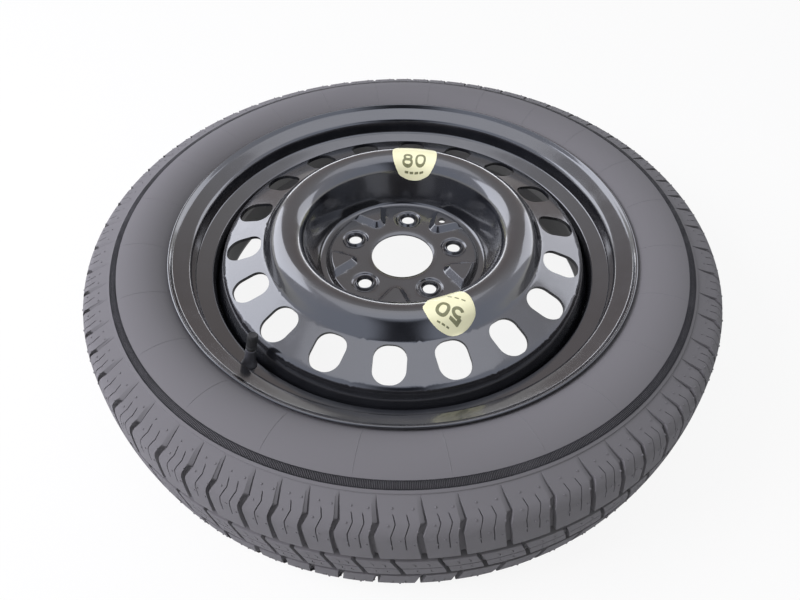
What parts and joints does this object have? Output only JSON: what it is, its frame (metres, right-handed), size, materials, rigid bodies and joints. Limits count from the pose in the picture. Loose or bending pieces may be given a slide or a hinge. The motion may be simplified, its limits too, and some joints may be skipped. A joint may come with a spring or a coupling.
{
  "type": "space saver spare wheel",
  "caption": "Narrow temporary spare wheel with tyre, drop-well steel rim, vented bowl-shaped disc, raised hub pads, snap-in valve and two yellow speed stickers, lying outboard face up.",
  "frame": {"origin": "centre of the hub bore at the face of the disc that seats on the hub", "axes": "+Z along the wheel's axis towards the outboard face, +Y away from the picture's camera, so +X is the picture's right"},
  "size_m": [0.644, 0.644, 0.1372],
  "materials": {
    "tyre_rubber": "matte, lightly dusty",
    "black_paint": "glossy black enamel",
    "weld_metal": "painted weld bead",
    "valve_rubber": "satin",
    "valve_brass": "machined",
    "seal_rubber": "matte",
    "spring_steel": "drawn wire",
    "cap_plastic": "matte",
    "sticker_vinyl": "printed vinyl film"
  },
  "bodies": {
    "wheel": {"tyre": "tyre_rubber", "rim": "black_paint", "disc": "black_paint", "disc_welds": "weld_metal", "valve_body": "valve_rubber", "valve_stem": "valve_brass", "valve_core_barrel": "valve_brass", "valve_core_barrel_seal": "seal_rubber", "valve_core_spring": "spring_steel", "speed_sticker_80": "sticker_vinyl", "speed_sticker_50": "sticker_vinyl"},
    "cap": {"valve_cap": "cap_plastic", "valve_cap_gasket": "seal_rubber"},
    "core_pin": {"valve_core_pin": "valve_brass", "valve_core_cup_seal": "seal_rubber"}
  },
  "joints": [
    {"name": "cap_off", "type": "slide", "parent": "wheel", "child": "cap", "axis": [0.2289, 0.2542, 0.9397], "range_m": [0, 0.02]},
    {"name": "valve_press", "type": "slide", "parent": "wheel", "child": "core_pin", "axis": [-0.2289, -0.2542, -0.9397], "range_m": [0, 0.001], "stiffness_N_per_m": 1500, "springref_m": -0.002, "deforming": ["valve_core_spring"]}
  ]
}
